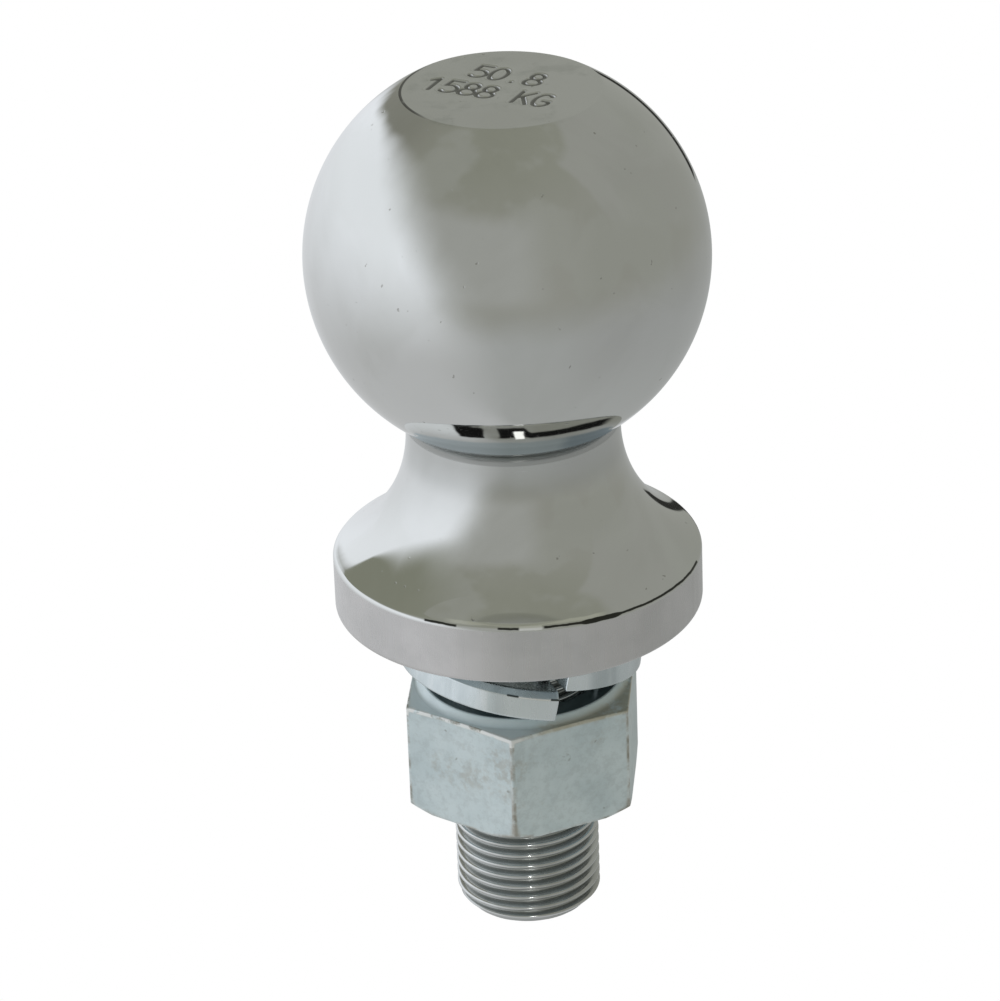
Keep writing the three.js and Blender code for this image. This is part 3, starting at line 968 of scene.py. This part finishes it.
def dark_horizon(n, azimuth, elevation):
    """The dark far side of the studio, lower on the right, with a grey and a white gap: how much dark
    and how much white there is."""
    right = n.both(n.fit(azimuth, 168, 160), n.fit(azimuth, 0, 10))
    top = n.math("SUBTRACT", HORIZON_TOP, n.both(right, HORIZON_DROP))
    below_top = n.fit(n.math("SUBTRACT", top, elevation), -1.0, 3.0)
    foot = n.math("SUBTRACT", HORIZON_FOOT, n.both(right, FOOT_DROP))
    level = n.both(below_top, n.fit(n.math("SUBTRACT", elevation, foot), -3.0, 2.0))
    ends = n.math("ADD", n.fit(azimuth, -117, -121), n.fit(azimuth, 55, 75), clamp=True)
    grey_gap = n.both(n.fit(azimuth, -165, -162), n.fit(azimuth, -147, -150))
    white_gap = n.both(n.fit(azimuth, 168, 169), n.fit(azimuth, 179.5, 178.5))
    white_gap = n.both(white_gap, n.window(elevation, -18, 10, 2))
    shade = n.both(level, ends)
    return n.both(shade, n.math("SUBTRACT", 1.0, n.both(grey_gap, 0.92))), white_gap


ARC_CENTRE = (2.0, -22.0)  # azimuth and elevation straight behind the ball
ARC_TILT = (13.0, 19.0)
ARC_SPAN = (17.0, 68.0)  # degrees from straight up, towards +X
ARC_SQUEEZE = 0.93  # the cosine of the elevation at its centre


def dark_arc(n):
    """A dark hanging edge behind the ball, which shows as a thin line along the ball's upper right."""
    axes = n.axes()
    azimuth = n.math("DEGREES", n.math("ARCTAN2", axes["X"], axes["Y"]))
    across = n.both(n.math("SUBTRACT", azimuth, ARC_CENTRE[0]), ARC_SQUEEZE)
    up = n.math("SUBTRACT", n.math("DEGREES", n.math("ARCSINE", axes["Z"])), ARC_CENTRE[1])
    tilt = n.math("SQRT", n.math("ADD", n.math("POWER", across, 2.0), n.math("POWER", up, 2.0)))
    turn = n.math("DEGREES", n.math("ARCTAN2", across, up))
    return n.both(n.window(turn, *ARC_SPAN, 3.0), n.window(tilt, *ARC_TILT, 1.5))


FLOOR_MIDDLE = grey(0.46, 0.475, 0.47)
FLOOR_LEFT = grey(0.59, 0.595, 0.595)
FLOOR_RIGHT = grey(0.405, 0.415, 0.41)


def floor_glow(n, azimuth, elevation):
    """The light off the pale floor: brighter on the left, dimmer on the right."""
    to_left = n.both(n.fit(azimuth, -20, -90), n.fit(azimuth, -180, -105))
    to_right = n.both(n.fit(azimuth, 175, 110), n.fit(azimuth, -10, 20))
    steep = n.fit(elevation, -85, -25)
    color = n.mix(n.both(to_left, steep), FLOOR_MIDDLE, FLOOR_LEFT)
    return n.mix(n.both(to_right, steep), color, FLOOR_RIGHT)


WALL_FOOT = grey(0.36, 0.365, 0.33)
WALL_TOP = grey(0.31, 0.318, 0.268)
WALL_PALE = grey(0.375, 0.382, 0.352)
WALL_FOLD = grey(0.375, 0.385, 0.35)
PALE_SLANT = 0.48  # how fast the pale stretch's lower edge climbs towards the front


def room_walls(n, azimuth, elevation):
    """The olive-grey room, with a paler stretch on the right and soft folds."""
    walls = n.mix(n.fit(elevation, 15, 80), WALL_FOOT, WALL_TOP)
    slant = n.math("SUBTRACT", elevation, n.both(azimuth, PALE_SLANT))
    pale = n.both(n.window(azimuth, -6, 108, 5), n.fit(elevation, 64, 59))
    pale = n.both(pale, n.fit(slant, -35, -30))
    walls = n.mix(n.both(pale, 0.9), walls, WALL_PALE)
    folds = n.noise(1.7, 3, 0.5)
    return n.mix(n.fit(folds, 0.46, 0.56, 0.0, 0.7), walls, WALL_FOLD)


FRONT_GLOW = grey(0.435, 0.445, 0.425)
BESIDE_SHADE = grey(0.2, 0.2, 0.165)
BOX_FOOT_GLOW = grey(0.59, 0.6, 0.61)
BOX_TOP_GLOW = grey(1.04, 1.08, 1.14)
DEEP_TINT = grey(0.76, 0.84, 0.89)
DEEP_RIGHT_TINT = grey(0.66, 0.7, 0.74)


def studio_light():
    """A plain soft studio: an olive-grey room, a pale floor and one large soft white on the left.
    Rays that were reflected twice see a bluer floor and a dark far side."""
    world = bpy.data.worlds.new("studio")
    bpy.context.scene.world = world
    n = Nodes(world, "Generated")
    azimuth, elevation = room_angles(n)
    below, above = floor_glow(n, azimuth, elevation), room_walls(n, azimuth, elevation)
    color = n.mix(n.fit(elevation, -32, -2), below, above)
    front = n.any_of([n.fit(azimuth, -100, -130), n.fit(azimuth, 148, 178)])
    front = n.both(front, n.window(elevation, 2, 36, 14))
    color = n.mix(n.both(front, 0.85), color, FRONT_GLOW)
    beside = n.both(n.fit(azimuth, -95, -55), n.fit(azimuth, 2, -16))
    beside = n.both(beside, n.fit(elevation, 75, 35))
    color = n.mix(n.both(beside, 0.55), color, BESIDE_SHADE)
    glow = n.mix(n.fit(elevation, -44, 14), BOX_FOOT_GLOW, BOX_TOP_GLOW)
    color = n.mix(n.both(softbox(n, azimuth, elevation), n.fit(azimuth, -180, -115)), color, glow)
    color = n.mix(dark_arc(n), color, grey(0.03, 0.03, 0.028))
    depth = n.add("ShaderNodeLightPath").outputs["Ray Depth"]
    deep = n.math("GREATER_THAN", depth, 2.5)
    low = n.both(deep, n.fit(elevation, -26, -34))
    color = n.mix(low, color, DEEP_TINT, "MULTIPLY")
    color = n.mix(n.both(low, n.window(azimuth, 10, 100, 25)), color, DEEP_RIGHT_TINT, "MULTIPLY")
    dark, white = dark_horizon(n, azimuth, elevation)
    color = n.mix(n.both(deep, dark), color, grey(0.012))
    color = n.mix(n.both(deep, white), color, grey(2.0))
    n.set(n.tree.nodes["Background"].inputs["Color"], color)


LAMP_PLACE = (0.01, -0.4, 0.06)
LAMP_AIM = (0.001, 0, 0.007)
LAMP_WATTS = 0.6
LAMP_RADIUS = 0.01
LAMP_CONE = math.radians(3.1)


def shank_spot():
    """A small lamp in front of the shank that puts a glint on each crest of the thread."""
    data = bpy.data.lights.new("shank_spot", "SPOT")
    data.energy = LAMP_WATTS
    data.spot_size = LAMP_CONE
    data.spot_blend = 0.5
    data.shadow_soft_size = LAMP_RADIUS
    lamp = bpy.data.objects.new("shank_spot", data)
    bpy.context.scene.collection.objects.link(lamp)
    lamp.location = LAMP_PLACE
    aim = Vector(LAMP_AIM) - lamp.location
    lamp.rotation_euler = aim.to_track_quat("-Z", "Y").to_euler()


FLAG_HEIGHT = 85.0
FLAG_INNER = 31.0
FLAG_OUTER = 96.0
FLAG_TURNS = (-30, -160)  # azimuth, in degrees


def flag():
    """A thin dark sheet beside the ball that shades the flare from the white. It shows from below
    only, so nothing above it is shaded."""
    bm = bmesh.new()
    turns = np.radians(np.linspace(*FLAG_TURNS, 27))
    radii = np.linspace(FLAG_INNER, FLAG_OUTER, 5)
    rows = [[bm.verts.new((r * math.sin(t), r * math.cos(t), 0)) for r in radii] for t in turns]
    for here, there in zip(rows[:-1], rows[1:]):
        for j in range(len(radii) - 1):
            bm.faces.new((here[j], here[j + 1], there[j + 1], there[j]))
    bmesh.ops.recalc_face_normals(bm, faces=bm.faces)
    bmesh.ops.transform(bm, matrix=Matrix.Scale(MM, 4), verts=bm.verts)
    mesh = bpy.data.meshes.new("flag")
    bm.to_mesh(mesh)
    bm.free()
    sheet = bpy.data.objects.new("flag", mesh)
    bpy.context.scene.collection.objects.link(sheet)
    sheet.location.z = FLAG_HEIGHT * MM
    sheet.visible_camera = sheet.visible_diffuse = sheet.visible_shadow = False
    mesh.materials.append(flag_material())


FLAG_EDGE = 0.0925  # metres from the axis
FLAG_GLOW = grey(0.275, 0.285, 0.23)


def flag_material():
    """A faint olive glow seen from below, with an edge that softens towards the front."""
    n = Nodes(bpy.data.materials.new("flag"))
    axes = n.axes()
    azimuth = n.math("DEGREES", n.math("ARCTAN2", axes["X"], axes["Y"]))
    softness = n.fit(azimuth, -60, -85, 0.006, 0.045, smooth=False)
    edge = n.math("SUBTRACT", FLAG_EDGE, n.both(softness, 0.5))
    cover = n.fit(n.math("DIVIDE", n.math("SUBTRACT", edge, n.radius(axes)), softness), -0.5, 0.5)
    cover = n.both(n.both(cover, n.fit(azimuth, -150, -100)), n.fit(azimuth, -31, -36))
    below = n.add("ShaderNodeNewGeometry").outputs["Backfacing"]
    glow = n.add("ShaderNodeEmission", {"Color": FLAG_GLOW}).outputs["Emission"]
    clear = n.add("ShaderNodeBsdfTransparent").outputs["BSDF"]
    mix = n.add("ShaderNodeMixShader", {0: n.both(cover, below), 1: clear, 2: glow})
    n.set(n.tree.nodes["Material Output"].inputs["Surface"], mix.outputs["Shader"])
    return n.holder


FLOOR_SIZE = 60.0
FLOOR_Z = -0.025


def floor():
    """A plain pale floor below the nut's lowest place. It doesn't light or shade the part."""
    cells = {"x_subdivisions": 8, "y_subdivisions": 8}
    bpy.ops.mesh.primitive_grid_add(size=FLOOR_SIZE, location=(0, 0, FLOOR_Z), **cells)
    plane = bpy.context.object
    plane.name = "floor"
    n = Nodes(bpy.data.materials.new("pale_floor"))
    glow = n.add("ShaderNodeEmission", {"Color": grey(1.0)}).outputs["Emission"]
    n.set(n.tree.nodes["Material Output"].inputs["Surface"], glow)
    plane.data.materials.append(n.holder)
    plane.visible_glossy = plane.visible_diffuse = plane.visible_shadow = False


CAMERA_AIM = 0.09175  # metres above the shank's end
CAMERA_DISTANCE = 0.6
CAMERA_ELEVATION = math.radians(24.10)
CAMERA_ROLL = math.radians(2.01)
CAMERA_PITCH = math.radians(-2.873)
CAMERA_YAW = math.radians(0.187)
LENS_MM = 173.7


def camera():
    """The camera looks at the ball's middle from the front and above, then tips to frame the part."""
    centre = Vector((0, 0, CAMERA_AIM))
    look = Vector((0, math.cos(CAMERA_ELEVATION), -math.sin(CAMERA_ELEVATION)))
    right = Vector((1, 0, 0))
    tip = Matrix.Rotation(CAMERA_PITCH, 3, right)
    up = tip @ right.cross(look)
    turn = Matrix.Rotation(CAMERA_YAW, 3, up)
    aim, side = turn @ tip @ look, turn @ right
    roll = Matrix.Rotation(CAMERA_ROLL, 3, aim)
    side, up = roll @ side, roll @ up
    data = bpy.data.cameras.new("camera")
    data.lens = LENS_MM
    data.sensor_width = 36.0
    data.clip_start = 0.01
    holder = bpy.data.objects.new("camera", data)
    bpy.context.scene.collection.objects.link(holder)
    axes = Matrix((side, up, -aim)).transposed().to_4x4()
    holder.matrix_world = Matrix.Translation(centre - look * CAMERA_DISTANCE) @ axes
    bpy.context.scene.camera = holder


scene = bpy.context.scene
scene.view_settings.view_transform = "Standard"
camera()
hitch_ball()
lock_washer()
hex_nut()
studio_light()
shank_spot()
flag()
floor()
